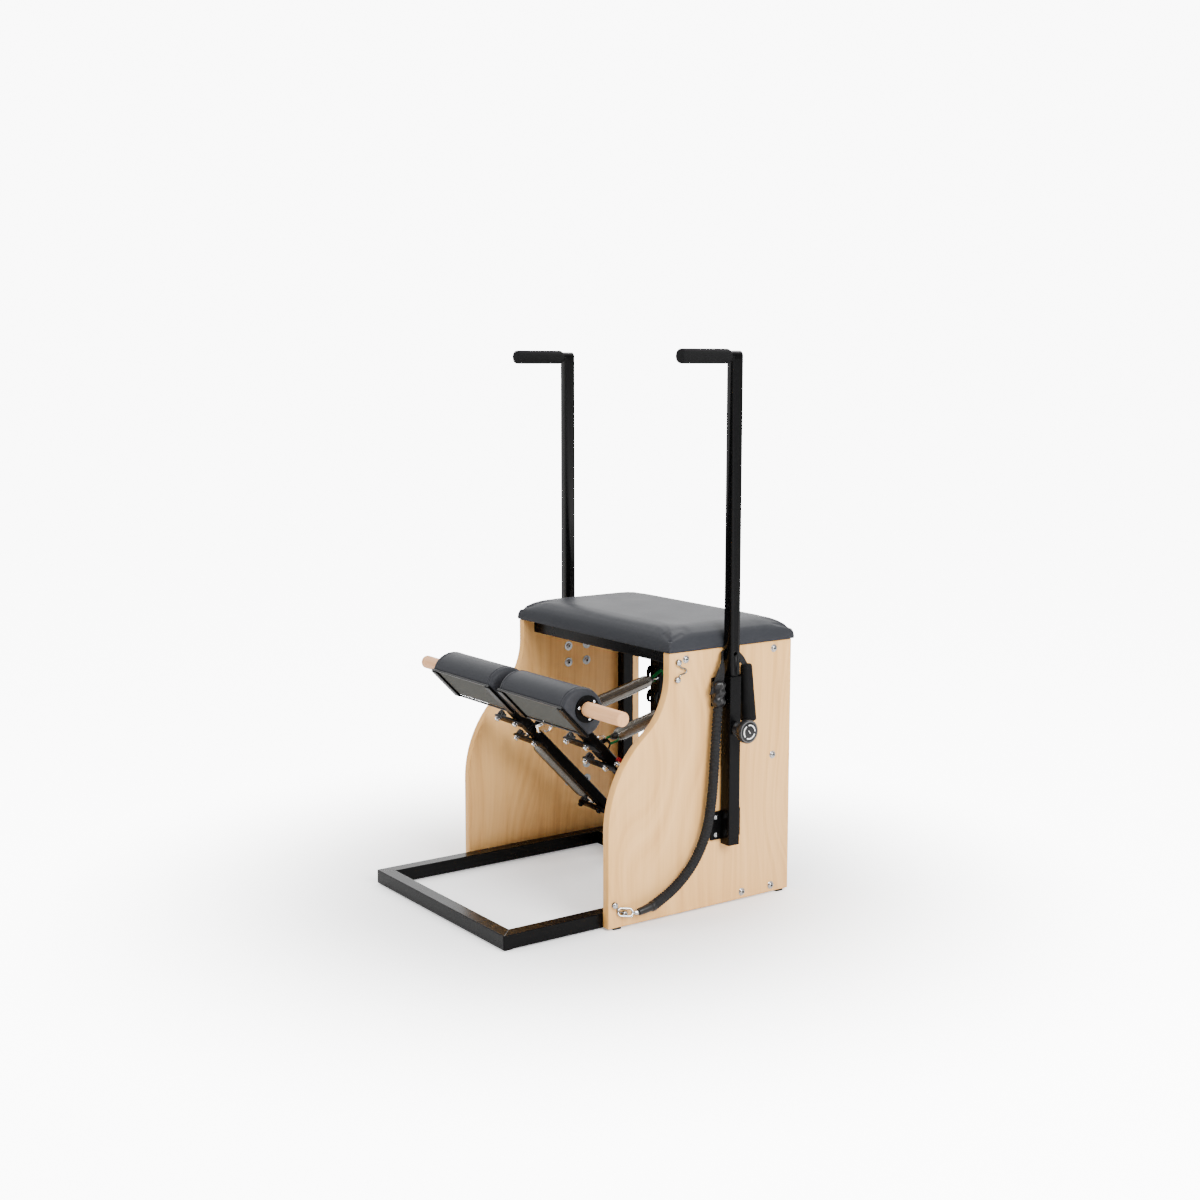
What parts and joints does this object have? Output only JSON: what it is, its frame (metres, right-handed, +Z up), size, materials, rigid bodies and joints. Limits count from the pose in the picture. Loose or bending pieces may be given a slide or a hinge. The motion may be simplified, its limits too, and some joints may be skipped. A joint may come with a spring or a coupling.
{
  "type": "pilates chair",
  "caption": "Pilates chair with wooden side panels, padded seat, twin spring-loaded padded pedals on a dowel, height-adjustable side handles and a hung resistance cord.",
  "frame": {"origin": "floor under the centre of the bounding box", "axes": "+X to the right as seen from the front, -Y the front with the pedals, +Z up"},
  "size_m": [0.836, 0.7846, 1.2705],
  "materials": {
    "maple_laminate": "satin",
    "black_steel": "powder coat",
    "plywood": "raw",
    "slate_vinyl": "satin",
    "steel_bolt": "zinc plated",
    "foot_rubber": "matte",
    "cord_cover": "gathered",
    "black_plastic": "matte",
    "black_foam": "soft",
    "chrome": "polished",
    "grey_board": "matte",
    "beech": "sanded"
  },
  "bodies": {
    "frame": {"left_side_panel": "maple_laminate", "right_side_panel": "maple_laminate", "front_floor_bar": "black_steel", "left_floor_rail": "black_steel", "right_floor_rail": "black_steel", "pivot_bar": "black_steel", "rear_floor_bar": "black_steel", "uprights": "black_steel", "rear_top_rail": "black_steel", "front_top_rail": "black_steel", "spring_posts": "black_steel", "hook_strips": "black_steel", "seat_board": "plywood", "seat_cushion": "slate_vinyl", "pivot_cheeks": "black_steel", "pivot_axles": "steel_bolt", "left_handle_sleeve": "black_steel", "right_handle_sleeve": "black_steel", "sleeve_plates": "black_steel", "panel_bolts": "steel_bolt", "cord_anchors": "steel_bolt", "feet": "foot_rubber", "cord_sleeve": "cord_cover", "cord_ends": "black_plastic", "cord_strap": "cord_cover", "cord_handgrip": "black_foam", "snap_hook": "chrome"},
    "left_pedal": {"left_pedal_arm": "black_steel", "left_pad": "slate_vinyl", "left_pad_board": "grey_board", "left_pad_irons": "black_steel", "left_spring_bars": "black_steel", "left_spring_studs": "chrome", "left_parked_spring": "chrome", "left_parked_rings": "chrome", "dowel": "beech"},
    "left_spring": {"left_work_spring": "chrome", "left_rear_ring": "chrome"},
    "left_spring_front": {"left_front_ring": "chrome"},
    "left_handle": {"left_handle_post": "black_steel", "left_grip": "black_foam"},
    "left_lock": {"left_knob": "black_plastic"},
    "right_pedal": {"right_pedal_arm": "black_steel", "right_pad": "slate_vinyl", "right_pad_board": "grey_board", "right_pad_irons": "black_steel", "right_spring_bars": "black_steel", "right_spring_studs": "chrome", "right_parked_spring": "chrome", "right_parked_rings": "chrome"},
    "right_spring": {"right_work_spring": "chrome", "right_rear_ring": "chrome"},
    "right_spring_front": {"right_front_ring": "chrome"},
    "right_handle": {"right_handle_post": "black_steel", "right_grip": "black_foam"},
    "right_lock": {"right_knob": "black_plastic"}
  },
  "joints": [
    {"name": "left_pedal_hinge", "type": "hinge", "parent": "frame", "child": "left_pedal", "pos_m": [-0.15, 0.24565, 0.069], "axis": [1, 0, 0], "range_deg": [0, 42], "stiffness_Nm_per_rad": 60, "springref_deg": -34.38},
    {"name": "left_spring_swing", "type": "hinge", "parent": "frame", "child": "left_spring", "pos_m": [-0.113, 0.31515, 0.4562], "axis": [1, 0, 0], "range_deg": [0, 22.03]},
    {"name": "left_spring_stretch", "type": "slide", "parent": "left_spring", "child": "left_spring_front", "axis": [0, -0.9709, -0.2395], "range_m": [0, 0.2432], "deforming": ["left_work_spring"]},
    {"name": "left_handle_slide", "type": "slide", "parent": "frame", "child": "left_handle", "axis": [0, 0, 1], "range_m": [-0.1695, 0]},
    {"name": "left_lock_pin", "type": "slide", "parent": "frame", "child": "left_lock", "axis": [1, 0, 0], "range_m": [0, 0.007]},
    {"name": "right_pedal_hinge", "type": "hinge", "parent": "frame", "child": "right_pedal", "pos_m": [0.15, 0.24565, 0.069], "axis": [1, 0, 0], "range_deg": [0, 42], "stiffness_Nm_per_rad": 60, "springref_deg": -34.38},
    {"name": "right_spring_swing", "type": "hinge", "parent": "frame", "child": "right_spring", "pos_m": [0.113, 0.31515, 0.4562], "axis": [1, 0, 0], "range_deg": [0, 22.03]},
    {"name": "right_spring_stretch", "type": "slide", "parent": "right_spring", "child": "right_spring_front", "axis": [0, -0.9709, -0.2395], "range_m": [0, 0.2432], "deforming": ["right_work_spring"]},
    {"name": "right_handle_slide", "type": "slide", "parent": "frame", "child": "right_handle", "axis": [0, 0, 1], "range_m": [-0.1695, 0]},
    {"name": "right_lock_pin", "type": "slide", "parent": "frame", "child": "right_lock", "axis": [-1, 0, 0], "range_m": [0, 0.007]}
  ],
  "couplings": [
    {"joint": "right_pedal_hinge", "follows": "left_pedal_hinge", "ratio": 1},
    {"joint": "left_spring_swing", "follows": "left_pedal_hinge", "ratio": 0.52331},
    {"joint": "left_spring_stretch", "follows": "left_pedal_hinge", "m_per_rad": 0.33146},
    {"joint": "right_spring_swing", "follows": "left_pedal_hinge", "ratio": 0.52331},
    {"joint": "right_spring_stretch", "follows": "left_pedal_hinge", "m_per_rad": 0.33146}
  ]
}
